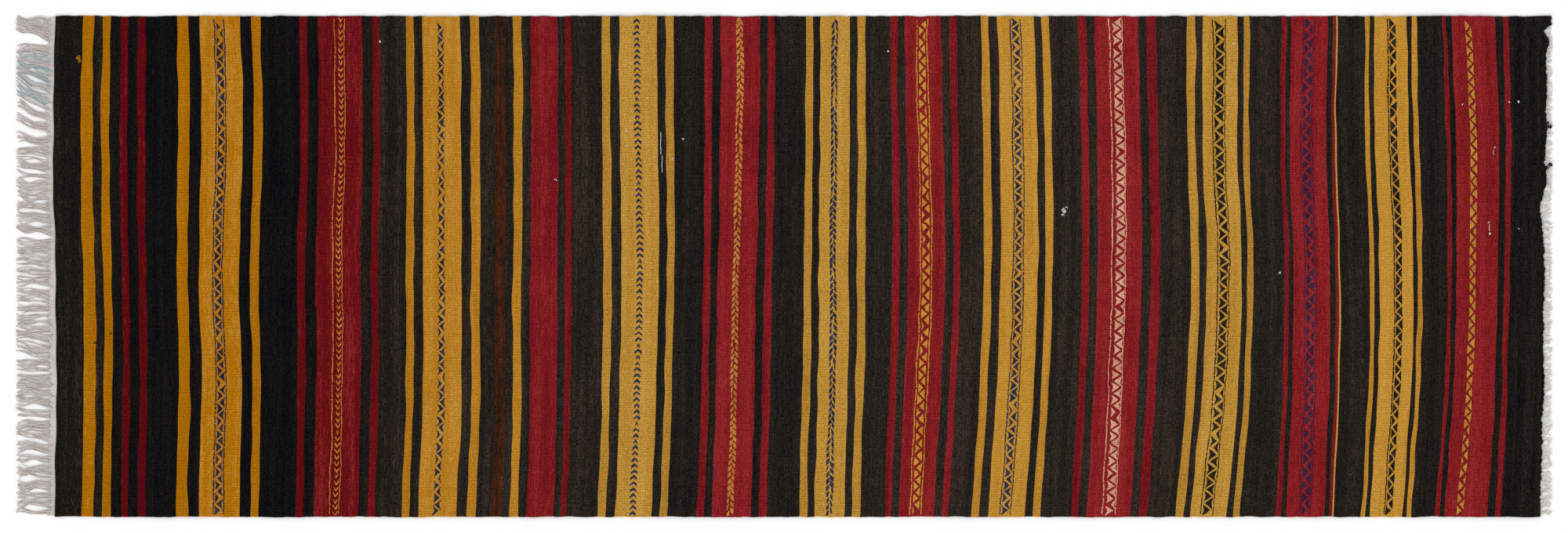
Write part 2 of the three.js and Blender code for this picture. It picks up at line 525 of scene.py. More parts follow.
class Graph:
    """Lays the shader nodes of one material."""

    def __init__(self, name: str) -> None:
        """Start a material with the places along and across the rug, from the plan's UV map.

        Args:
            name: The material's name.
        """
        self.material = bpy.data.materials.new(name)
        self.material.use_nodes = True
        self.tree = self.material.node_tree
        self.tree.nodes.clear()
        source = self.tree.nodes.new("ShaderNodeUVMap")
        source.uv_map = "plan"
        parts = self.tree.nodes.new("ShaderNodeSeparateXYZ")
        self.put(parts.inputs[0], source.outputs["UV"])
        self.along, self.across = parts.outputs["X"], parts.outputs["Y"]

    def put(self, socket: bpy.types.NodeSocket, value: object) -> None:
        """Link a socket to another, or set its value.

        Args:
            socket: The socket.
            value: The other socket, or the value.
        """
        if isinstance(value, bpy.types.NodeSocket):
            self.tree.links.new(value, socket)
        else:
            socket.default_value = value

    def math(self, operation: str, first: object, second: object = 0.0) -> bpy.types.NodeSocket:
        """Work out one step of arithmetic.

        Args:
            operation: The operation's name.
            first: The first number or socket.
            second: The second one, where the operation takes two.

        Returns:
            The result.
        """
        node = self.tree.nodes.new("ShaderNodeMath")
        node.operation = operation
        self.put(node.inputs[0], first)
        self.put(node.inputs[1], second)
        return node.outputs[0]

    def add(self, *terms: object) -> bpy.types.NodeSocket:
        """Add two or more numbers or sockets."""
        return functools.reduce(lambda total, term: self.math("ADD", total, term), terms)

    def times(self, first: object, second: object) -> bpy.types.NodeSocket:
        """Multiply two numbers or sockets."""
        return self.math("MULTIPLY", first, second)

    def scale(self, colour: object, share: object) -> bpy.types.NodeSocket:
        """Scale a colour.

        Args:
            colour: The colour.
            share: How much of it is left.

        Returns:
            The scaled colour.
        """
        node = self.tree.nodes.new("ShaderNodeVectorMath")
        node.operation = "SCALE"
        self.put(node.inputs[0], colour)
        self.put(node.inputs["Scale"], share)
        return node.outputs[0]

    def sway(self, value: object, strength: float) -> bpy.types.NodeSocket:
        """Turn values from 0 to 1 into values of the given strength on both sides of 0."""
        return self.times(self.math("SUBTRACT", value, 0.5), strength)

    def ridges(self, count: object) -> bpy.types.NodeSocket:
        """Turn a steady count into ridges, from 0 in the grooves at whole numbers to 1 on the crests."""
        return self.math("ABSOLUTE", self.math("SINE", self.times(count, math.pi)))

    def spread(self, value: object, low: float, high: float) -> bpy.types.NodeSocket:
        """Stretch the values between two limits to 0 to 1, and clamp the rest.

        Args:
            value: The values.
            low: The limit that becomes 0.
            high: The limit that becomes 1.

        Returns:
            The stretched values.
        """
        node = self.tree.nodes.new("ShaderNodeMapRange")
        self.put(node.inputs["Value"], value)
        node.inputs["From Min"].default_value = low
        node.inputs["From Max"].default_value = high
        return node.outputs["Result"]

    def noise(self, size: tuple[float, float], layer: float, detail: float) -> bpy.types.NodeSocket:
        """Add noise over the plan.

        Args:
            size: The usual size of its spots along and across the rug.
            layer: Which layer of the noise to cut. Each layer is another pattern.
            detail: How many finer octaves it has.

        Returns:
            The noise, mostly between 0.3 and 0.7.
        """
        place = self.tree.nodes.new("ShaderNodeCombineXYZ")
        self.put(place.inputs["X"], self.math("DIVIDE", self.along, size[0]))
        self.put(place.inputs["Y"], self.math("DIVIDE", self.across, size[1]))
        place.inputs["Z"].default_value = layer
        node = self.tree.nodes.new("ShaderNodeTexNoise")
        self.put(node.inputs["Vector"], place.outputs["Vector"])
        node.inputs["Scale"].default_value = 1.0
        node.inputs["Detail"].default_value = detail
        return node.outputs["Fac"]

    def patches(
        self, size: tuple[float, float], layer: float, detail: float, reach: float = 0.2
    ) -> bpy.types.NodeSocket:
        """Add soft patches over the plan.

        Args:
            size: The usual size of a patch along and across the rug.
            layer: Which layer of the noise to cut.
            detail: How many finer octaves it has.
            reach: How far from the middle of the noise a patch is full or empty.

        Returns:
            The patches, from 0 to 1.
        """
        return self.spread(self.noise(size, layer, detail), 0.5 - reach, 0.5 + reach)

    def mix(self, share: object, first: object, second: object) -> bpy.types.NodeSocket:
        """Mix two colours.

        Args:
            share: The share of the second colour.
            first: The first colour.
            second: The second colour.

        Returns:
            The mixed colour.
        """
        node = self.tree.nodes.new("ShaderNodeMix")
        node.data_type = "RGBA"
        self.put(node.inputs["Factor"], share)
        self.put(node.inputs["A"], first)
        self.put(node.inputs["B"], second)
        return node.outputs["Result"]

    def shade(self) -> bpy.types.NodeSocket:
        """Read the shade that each strand or stripe was given.

        Returns:
            The shade, from -1 to 1.
        """
        source = self.tree.nodes.new("ShaderNodeAttribute")
        source.attribute_name = "shade"
        return source.outputs["Fac"]

    def wool(
        self, colour: object, height: object, depth: float, rough: float, sheen: float
    ) -> bpy.types.Material:
        """Finish the material as matt wool.

        Args:
            colour: The colour of the surface.
            height: The relief, from 0 to 1.
            depth: The depth of the relief in metres.
            rough: The roughness.
            sheen: The strength of the soft sheen of loose fibres.

        Returns:
            The material.
        """
        bump = self.tree.nodes.new("ShaderNodeBump")
        bump.inputs["Strength"].default_value = 0.7
        bump.inputs["Distance"].default_value = depth
        self.put(bump.inputs["Height"], height)
        shader = self.tree.nodes.new("ShaderNodeBsdfPrincipled")
        self.put(shader.inputs["Base Color"], colour)
        self.put(shader.inputs["Normal"], bump.outputs["Normal"])
        shader.inputs["Roughness"].default_value = rough
        shader.inputs["Specular IOR Level"].default_value = 0.0
        shader.inputs["Sheen Weight"].default_value = sheen
        shader.inputs["Sheen Roughness"].default_value = 0.55
        out = self.tree.nodes.new("ShaderNodeOutputMaterial")
        self.put(out.inputs["Surface"], shader.outputs["BSDF"])
        return self.material


@dataclass(frozen=True)
class Dye:
    """A dyed weft. Colours are display colours, as six hexadecimal digits."""

    name: str
    early: str  # in the first sections woven, beside the long fringe
    late: str  # in the rest of the rug
    deep: str  # where the yarn took more dye
    pale: str  # where it took less, or has worn
    streaks: float = 0.3  # strength of the streaks that single lengths of yarn make
    clouds: float = 0.25  # strength of the broad worn patches
    speckle: float = 0.4  # strength of the mottling of the single shots
    sheen: float = 0.02
    rib: float = 4.7 * MM  # pitch of the ribs over the warps
    shot: float = 2.4 * MM  # pitch of the weft shots
    turn: tuple[float, float] = (-1.12, -0.2)  # where along X the early yarn gives way to the late
    streak: tuple[float, float] = (3.6 * MM, 160 * MM)  # size of a streak, along and across the rug
    lot: tuple[float, float] = (16 * MM, 600 * MM)  # of a lot of yarn
    cloud: tuple[float, float] = (70 * MM, 100 * MM)  # of a worn patch
    dash: tuple[float, float] = (3 * MM, 20 * MM)  # of a short length of shot
    drift: tuple[float, float] = (50 * MM, 20 * MM)  # of the patches where the ribs drift
    hollow: float = 0.78  # painted shade: the brightness of the groove between two ribs
    crown: float = 0.26  # painted light: what is added to the brightness on the crest of a rib
    relief: float = 0.5 * MM

    def tone(self, graph: Graph) -> bpy.types.NodeSocket:
        """Spread the dye unevenly: streaks of single yarns, lots of yarn and worn patches.

        Args:
            graph: The material's nodes.

        Returns:
            The tone, below 0 where the wool is deep and above 0 where it is pale.
        """
        streak = graph.sway(graph.patches(self.streak, 3.0, 3.0), self.streaks)
        lot = graph.sway(graph.patches(self.lot, 4.0, 1.0, 0.15), self.streaks)
        cloud = graph.sway(graph.patches(self.cloud, 5.0, 3.0), self.clouds)
        dash = graph.sway(graph.patches(self.dash, 6.0, 2.0), self.streaks * 1.6)
        return graph.add(streak, lot, cloud, dash, graph.shade())

    def material(self) -> bpy.types.Material:
        """Make the material: ribs over the warps with painted shade in their grooves, shots of weft and an
        uneven dye.
        """
        graph = Graph(self.name)
        drift = graph.times(graph.noise(self.drift, 1.0, 1.0), 1.5)
        crest = graph.ridges(graph.add(graph.math("DIVIDE", graph.across, self.rib), drift))
        bead = graph.patches((self.shot, self.rib), 2.0, 1.0)
        tone = self.tone(graph)
        colour = graph.mix(graph.spread(graph.along, *self.turn), linear(self.early), linear(self.late))
        colour = graph.mix(graph.spread(tone, 0.0, -1.0), colour, linear(self.deep))
        colour = graph.mix(graph.spread(tone, 0.0, 1.0), colour, linear(self.pale))
        # painted shade: the colour is darker in the grooves between ribs and lighter on their crests
        light = graph.add(self.hollow, graph.times(crest, self.crown))
        light = graph.times(light, graph.add(1.0, graph.sway(bead, self.speckle)))
        height = graph.add(graph.times(crest, 0.7), graph.times(bead, 0.3))
        return graph.wool(graph.scale(colour, light), height, self.relief, 0.92, self.sheen)


@dataclass(frozen=True)
class Undyed:
    """A yarn that lies loose, as plied strands. Colours are display colours, as in a dye."""

    name: str
    base: str
    dull: str  # in dull patches
    tint: str  # where the strand's shade is above 0
    sheen: float = 0.03
    ply: float = 5.0 * MM  # length of one turn of the ply
    girth: float = 2.2 * MM  # the way around a strand that one turn of the ply takes
    slub: tuple[float, float] = (12 * MM, 4 * MM)  # size of an uneven length, along and around
    patch: tuple[float, float] = (30 * MM, 50 * MM)  # size of a dull patch
    hollow: float = 0.8  # painted shade: the brightness of the groove between two plies
    crown: float = 0.14  # painted light: what is added to the brightness on the crest of a ply
    relief: float = 0.3 * MM

    def material(self) -> bpy.types.Material:
        """Make the material: the twist of the ply with painted shade in its grooves, uneven spinning, dull and
        tinted lengths.
        """
        graph = Graph(self.name)
        turns = graph.math("DIVIDE", graph.along, self.ply)
        groove = graph.ridges(graph.add(turns, graph.math("DIVIDE", graph.across, self.girth)))
        uneven = graph.patches(self.slub, 1.0, 2.0)
        patch = graph.patches(self.patch, 2.0, 2.0, 0.15)
        colour = graph.mix(graph.times(patch, 0.7), linear(self.base), linear(self.dull))
        colour = graph.mix(graph.spread(graph.shade(), 0.0, 1.0), colour, linear(self.tint))
        # painted shade: darker in the ply grooves and lighter on their crests; the uneven spinning is the
        # yarn's own
        light = graph.add(self.hollow, graph.times(groove, self.crown), graph.times(uneven, 0.08))
        return graph.wool(graph.scale(colour, light), groove, self.relief, 0.9, self.sheen)


DYES = {
    "dark": Dye(
        "dark wool",
        "1d1a16",
        "24201c",
        "0c0d11",
        "41352c",
        streaks=0.42,
        clouds=0.22,
        speckle=1.1,
        sheen=0.0,
    ),
    "yellow": Dye("yellow wool", "a86a04", "b88530", "8a5404", "cc9c48", streaks=0.26, speckle=0.42),
    "tan": Dye("tan wool", "b07e2c", "b38432", "8e6222", "c9a052", clouds=0.3, speckle=0.5),
    "red": Dye("red wool", "5c0a0f", "801c20", "44070c", "9c3230", streaks=0.36, clouds=0.3, speckle=0.7),
    "rust": Dye("rust wool", "44200f", "44200f", "1c1814", "5a2c16", streaks=0.8, clouds=0.6, speckle=0.7),
    "orange": Dye("orange wool", "9a5430", "9a5430", "6f191e", "c08c3c", streaks=0.2, clouds=0.2),
    "navy": Dye("navy wool", "1c2438", "242b3e", "121624", "444856"),
    "gold": Dye("gold wool", "b8702c", "b88038", "8c5226", "c89858"),
    "cream": Dye("cream wool", "c8947a", "c8947a", "a06a54", "dcb49c"),
    "purple": Dye("purple wool", "34203a", "34203a", "201424", "50384a"),
}
WARP = Undyed("warp yarn", "d3cac5", "bdb3ad", "a9bbc0")
TWINING = Undyed("pale green twining", "a9b7ae", "98a89f", "a9b7ae")
STUBS = Undyed("worn warp yarn", "eae6e1", "d2ccc5", "d8dddb")
LINT = Undyed("lint", "e6e1da", "cfc8bd", "e6e1da")
DARK_FLUFF = Undyed("loose dark wool", "1d1a16", "0c0d11", "2c2620")
YELLOW_FLUFF = Undyed("loose yellow wool", "a86a04", "8a5404", "b88530")


class Kind(Enum):
    """What the second yarn draws in a figured band."""

    CHEVRONS = "chevrons in one row"
    THIN_CHEVRONS = "thin chevrons in one row"
    TRIANGLES = "triangles in two rows"
    NOTCHED = "triangles with a notch in the foot"
    HOOKS = "triangles notched so deep that they look like hooks"
    STITCHES = "slanting stitches in two rows"


@dataclass(frozen=True)
class Figure:
    """The motif of one figured band, in millimetres.

    Chevrons lie in one row. The others lie in two rows that point at each other.
    """

    kind: Kind
    wide: float  # of the row or the two rows together
    repeat: float  # from one motif of a row to the next
    gap: float = 3.2  # ground that shows between two motifs
    lines: tuple[tuple[float, float], ...] = ()  # stitched lines: place from the middle, and width
    points: int = 1  # 1 where chevrons point to +Y, and -1 to -Y
    broken: float = 0.15  # share of the motifs that are broken
    shade: float = 0.0  # how pale, above 0, or deep, below 0, the yarn is
    shift: float = 0.0  # how far the motifs lie from the middle of the band

    @property
    def chevrons(self) -> bool:
        """Whether the motifs are chevrons."""
        return self.kind in (Kind.CHEVRONS, Kind.THIN_CHEVRONS)


FIGURES = {
    "figure_navy_1": Figure(Kind.NOTCHED, 14.5, 25.4, 3.8, ((-9.8, 2.2), (9.4, 2.2)), broken=0.2),
    "figure_gold_2": Figure(
        Kind.THIN_CHEVRONS, 10.0, 12.5, 3.0, ((-9.6, 2.0), (9.6, 1.4)), points=-1, shift=2.2
    ),
    "figure_navy_3": Figure(Kind.HOOKS, 14.5, 25.4, 3.2, broken=0.35),
    "figure_navy_5": Figure(Kind.CHEVRONS, 13.5, 12.0, 3.0, broken=0.2),
    "figure_gold_6": Figure(Kind.STITCHES, 13.0, 13.0, 4.2, broken=0.2, shade=-0.2),
    "figure_navy_7": Figure(Kind.STITCHES, 12.5, 13.0, 3.2, broken=0.3),
    "figure_yellow_8": Figure(Kind.TRIANGLES, 13.5, 24.6, 4.8, ((-11.2, 2.0), (11.0, 2.0)), broken=0.3),
    "figure_navy_9": Figure(Kind.HOOKS, 16.5, 25.0, 3.6, ((-10.4, 2.2), (10.2, 2.0)), broken=0.3),
    "figure_cream_10": Figure(
        Kind.NOTCHED, 19.0, 24.7, 4.0, ((-12.6, 2.0), (13.4, 1.6)), broken=0.1, shift=3.4
    ),
    "figure_dark_11": Figure(Kind.NOTCHED, 19.0, 27.6, 3.4, ((-12.6, 2.2), (11.2, 1.8)), broken=0.1),
    "figure_purple_12": Figure(Kind.TRIANGLES, 15.0, 25.6, 4.0, ((-10.8, 1.6), (10.4, 1.6)), broken=0.35),
    "figure_dark_13": Figure(Kind.TRIANGLES, 12.6, 25.6, 2.2, ((-3.4, 2.4),), broken=0.1, shift=5.9),
    "figure_tan_14": Figure(Kind.TRIANGLES, 12.0, 24.8, 4.0, broken=0.1, shade=-0.15),
}

# The shade of the lots of dark wool at places along the rug: blue-black below 0 and brown above it.
DARK_LOTS = (
    (-1.43, -0.08),
    (-1.37, 0.08),
    (-1.35, -0.45),
    (-1.25, -0.65),
    (-1.15, -0.45),
    (-1.00, -0.75),
    (-0.95, -0.55),
    (-0.88, -0.35),
    (-0.80, 0.08),
    (-0.58, 0.12),
    (-0.30, 0.14),
    (-0.18, -0.3),
    (0.00, -0.2),
    (0.10, 0.0),
    (0.30, 0.16),
    (0.80, 0.16),
    (1.05, -0.05),
    (1.20, -0.1),
    (1.45, -0.45),
)


@dataclass
class Weave:
    """The woven cloth: one piece for each yarn, with a stripe for each of its teeth in the plan."""

    cloth: Cloth
    dyes: dict[str, bpy.types.Material]
    columns: int = 200  # cells across the rug
    worn_columns: int = 520  # cells across the yarn of the worn end
    cell: float = 7.0 * MM  # longest cell along the rug
    bend_cell: float = 1.2 * MM  # longest cell where the cloth bends
    lee: float = 45.0 * MM  # how far from a fold the cells are short
    gutter: float = 3.0 * MM  # left between stripes in the bake layout
    orange_red: float = 0.64  # share of the orange stripe that is woven in deep red
    pieces: dict[str, bpy.types.Object] = field(default_factory=dict)

    def grounds(self) -> dict[str, list[Stripe]]:
        """Join the two halves of each figured ground, whose cloth runs on under the figure.

        Returns:
            The stripes of each woven yarn, by its CAD node.
        """
        found: dict[str, list[Stripe]] = {}
        figured = False
        for stripe in self.cloth.plan.stripes:
            was_figured, figured = figured, stripe.node.startswith("figure")
            if figured:
                continue
            rows = found.setdefault(stripe.node, [])
            if was_figured:
                rows[-1] = Stripe(stripe.node, rows[-1].start, stripe.end)
            else:
                rows.append(stripe)
        return found

    def rows(self, stripe: Stripe) -> np.ndarray:
        """Space the rows of cells of one stripe.

        Args:
            stripe: The stripe.

        Returns:
            The places of the rows along the rug.
        """
        lee = self.lee + stripe.wide / 2
        near = any(abs(stripe.middle - fold.place) < lee for fold in self.cloth.plan.folds)
        cell = self.bend_cell if near or "orange" in stripe.node else self.cell
        return np.linspace(stripe.start, stripe.end, max(3, math.ceil(stripe.wide / cell) + 1))

    def section(self, node: str) -> tuple[np.ndarray, np.ndarray]:
        """Shape the cross-section from selvedge to selvedge, flat with rounded edges.

        Args:
            node: The yarn's CAD node.

        Returns:
            The places across the rug and the half thickness at each.
        """
        half, thick = self.cloth.plan.half, self.cloth.plan.thick
        turn = np.linspace(0, math.pi / 2, 4)
        round_off = half - thick / 2 * (1 - np.sin(turn))
        cells = self.worn_columns if node == self.cloth.plan.stripes[-1].node else self.columns
        flat = np.linspace(-half + thick, half - thick, cells + 1)
        across = np.concatenate([-round_off[::-1], flat, round_off])
        full = np.full(len(flat), thick / 2)
        rounded = thick / 2 * np.cos(turn)
        return across, np.concatenate([rounded[::-1], full, rounded])

    def sleeve(self, shells: Shells, stripe: Stripe, bake_start: float, bake_length: float) -> None:
        """Add one stripe as a closed sleeve.

        Args:
            shells: The piece's shells.
            stripe: The stripe.
            bake_start: Where its own part of the bake layout starts.
            bake_length: The length of the whole bake layout.
        """
        plan = self.cloth.plan
        thick = plan.thick
        along = self.rows(stripe)
        across, half = self.section(stripe.node)
        rows, cols = len(along), len(across)
        grid_along, grid_across = np.meshgrid(along, across, indexing="ij")
        top = self.cloth.lay(grid_along, grid_across, thick / 2 + half)
        low = self.cloth.lay(grid_along, grid_across, thick / 2 - half)
        upper = np.arange(rows * cols).reshape(rows, cols)
        lower = upper + rows * cols
        lower[:, 0], lower[:, -1] = upper[:, 0], upper[:, -1]
        used, flat = np.unique(np.concatenate([upper.ravel(), lower.ravel()]), return_inverse=True)
        points = np.concatenate([top.reshape(-1, 3), low.reshape(-1, 3)])[used]
        place = np.stack([grid_along, grid_across], axis=-1).reshape(-1, 2)
        place = np.concatenate([place, place])[used]
        upper = flat[: rows * cols].reshape(rows, cols)
        lower = flat[rows * cols :].reshape(rows, cols)

        def spot(walk: np.ndarray | float, col: np.ndarray | int) -> np.ndarray:
            """Place corners in the bake layout, by their walk around the sleeve and their column."""
            return np.stack([(bake_start + walk) / bake_length, plan.bake_share(across[col])], axis=-1)

        row, col = np.meshgrid(np.arange(rows - 1), np.arange(cols - 1), indexing="ij")
        row, col = row.ravel(), col.ravel()
        ahead = along - stripe.start
        cell = [(row, col), (row + 1, col), (row + 1, col + 1), (row, col + 1)]
        faces: list[list[int]] = []
        bake = []
        for skin, walk, order in ((upper, thick + ahead, 1), (lower, 2 * (thick + stripe.wide) - ahead, -1)):
            faces += np.stack([skin[r, c] for r, c in cell[::order]], -1).tolist()
            bake.append(np.stack([spot(walk[r], c) for r, c in cell[::order]], 1).reshape(-1, 2))
        for line, order in ((0, 1), (rows - 1, -1)):
            near, far = (thick, 0.0) if line == 0 else (thick + stripe.wide, 2 * thick + stripe.wide)
            for index in range(cols - 1):
                ring = [
                    (upper[line, index], near, index),
                    (upper[line, index + 1], near, index + 1),
                    (lower[line, index + 1], far, index + 1),
                    (lower[line, index], far, index),
                ]
                if index == 0:
                    ring.pop()
                if index == cols - 2:
                    ring.pop(2)
                ring = ring[::order]
                faces.append([int(corner) for corner, _, _ in ring])
                bake.append(np.array([spot(walk, column) for _, walk, column in ring]))
        shells.add(points, faces, place, np.concatenate(bake), self.shade(stripe, place[:, 0]))

    def shade(self, stripe: Stripe, along: np.ndarray) -> np.ndarray | float:
        """Choose how deep or pale one stripe is dyed. The orange one is deep red, then a yellow line.

        Args:
            stripe: The stripe.
            along: Places in it along the rug.

        Returns:
            The shade, from -1 for deep to 1 for pale, at each place or for all.
        """
        dye = stripe.node.split("_")[1]
        if dye == "orange":
            return np.where(along < stripe.start + stripe.wide * self.orange_red, -1.0, 1.0)
        if dye == "dark":
            return np.interp(stripe.middle, *zip(*DARK_LOTS))
        rng = np.random.default_rng(int(abs(stripe.middle) * 10000))
        worn = -0.2 if stripe.wide < 30 * MM else 0.05
        return worn + rng.uniform(-0.08, 0.08)

    def build(self) -> None:
        """Weave every yarn and dress it in its dye."""
        plan = self.cloth.plan
        for node, stripes in self.grounds().items():
            dye, number = node.split("_")[1:3]
            shells = Shells()
            lengths = [2 * (stripe.wide + plan.thick) + self.gutter for stripe in stripes]
            for index, stripe in enumerate(stripes):
                self.sleeve(shells, stripe, sum(lengths[:index]), sum(lengths))
            piece = shells.build(f"{dye}_weave_{number}", self.dyes[dye])
            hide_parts(node)
            self.pieces[node] = piece
            log.info("wove %s, %d stripes, %d faces", piece.name, len(stripes), len(piece.data.polygons))

    def declare(self) -> None:
        """Add up the width of each woven yarn's stripes, at least 10 mm; the sum is not used further.
        """
        for node, stripes in self.grounds().items():
            wide = max(sum(stripe.wide for stripe in stripes), 10 * MM)


@dataclass(frozen=True)
class Stamp:
    """A small shape that repeats in the figured bands, one unit long each way."""

    points: np.ndarray
    faces: list[list[int]]


@dataclass
class Stamps:
    """Models the small shapes of the figured bands once each."""

    cut: int = 1  # cuts in each edge, where a copy may be uneven

    def take(self, flip: bool) -> Stamp:
        """Read the active mesh as a stamp of unit size, and remove it.

        Args:
            flip: Whether the shape is turned so that what points to +Y points to +X.

        Returns:
            The stamp.
        """
        piece = bpy.context.object
        points = np.array([vertex.co for vertex in piece.data.vertices])
        if flip:
            points = np.stack([points[:, 1], -points[:, 0], points[:, 2]], axis=-1)
        low, high = points.min(0), points.max(0)
        faces = [list(face.vertices) for face in piece.data.polygons]
        bpy.data.objects.remove(piece)
        return Stamp((points - low) / (high - low) - 0.5, faces)

    @staticmethod
    def choose(test: str, limit: float) -> None:
        """Select the faces of the mesh in edit mode that look up, or its vertices near the middle.

        Args:
            test: "up" for faces that look up, "middle" for vertices near X 0, or "foot" for those at -Y too.
            limit: How near counts.
        """
        bpy.ops.mesh.select_all(action="DESELECT")
        shape = bmesh.from_edit_mesh(bpy.context.object.data)
        if test == "up":
            for face in shape.faces:
                face.select_set(face.normal.z > limit)
        else:
            for vertex in shape.verts:
                vertex.select_set(abs(vertex.co.x) < limit and (test == "middle" or vertex.co.y < -limit))
            shape.select_flush_mode()
        bmesh.update_edit_mesh(bpy.context.object.data)

    def triangle(self, notch: float) -> Stamp:
        """Model a triangle that points to +X, with a rounded top.

        Args:
            notch: How far the middle of its foot is pushed in.

        Returns:
            The stamp.
        """
        bpy.ops.object.select_all(action="DESELECT")
        bpy.ops.mesh.primitive_cylinder_add(vertices=3, radius=1, depth=0.4)
        bpy.ops.object.mode_set(mode="EDIT")
        self.choose("up", 0.9)
        bpy.ops.mesh.inset(thickness=0.16, depth=0.12)
        bpy.ops.mesh.select_all(action="SELECT")
        bpy.ops.mesh.subdivide(number_cuts=self.cut)
        bpy.context.tool_settings.mesh_select_mode = (True, False, False)
        self.choose("foot", 0.3)
        bpy.ops.transform.translate(value=(0, notch, 0))
        bpy.ops.object.mode_set(mode="OBJECT")
        return self.take(True)

    def chevron(self, thick: float) -> Stamp:
        """Model a chevron that points to +Y: a bar that is lifted by 1 at its middle.

        Args:
            thick: The bar's width.

        Returns:
            The stamp.
        """
        bpy.ops.object.select_all(action="DESELECT")
        bpy.ops.mesh.primitive_cube_add(size=1)
        bpy.ops.object.mode_set(mode="EDIT")
        bpy.ops.mesh.select_all(action="SELECT")
        bpy.ops.transform.resize(value=(2.0, thick, 0.4))
        bpy.ops.mesh.subdivide(number_cuts=self.cut)
        bpy.context.tool_settings.mesh_select_mode = (True, False, False)
        self.choose("middle", 0.1)
        bpy.ops.transform.translate(value=(0, 1.0, 0))
        bpy.ops.object.mode_set(mode="OBJECT")
        return self.take(False)

    def bar(self) -> Stamp:
        """Model a short length of line along Y, with a rounded top.

        Returns:
            The stamp.
        """
        bpy.ops.object.select_all(action="DESELECT")
        bpy.ops.mesh.primitive_cube_add(size=1)
        bpy.ops.object.mode_set(mode="EDIT")
        bpy.context.tool_settings.mesh_select_mode = (False, False, True)
        self.choose("up", 0.9)
        bpy.ops.mesh.inset(thickness=0.2, depth=0.1)
        bpy.ops.object.mode_set(mode="OBJECT")
        return self.take(False)


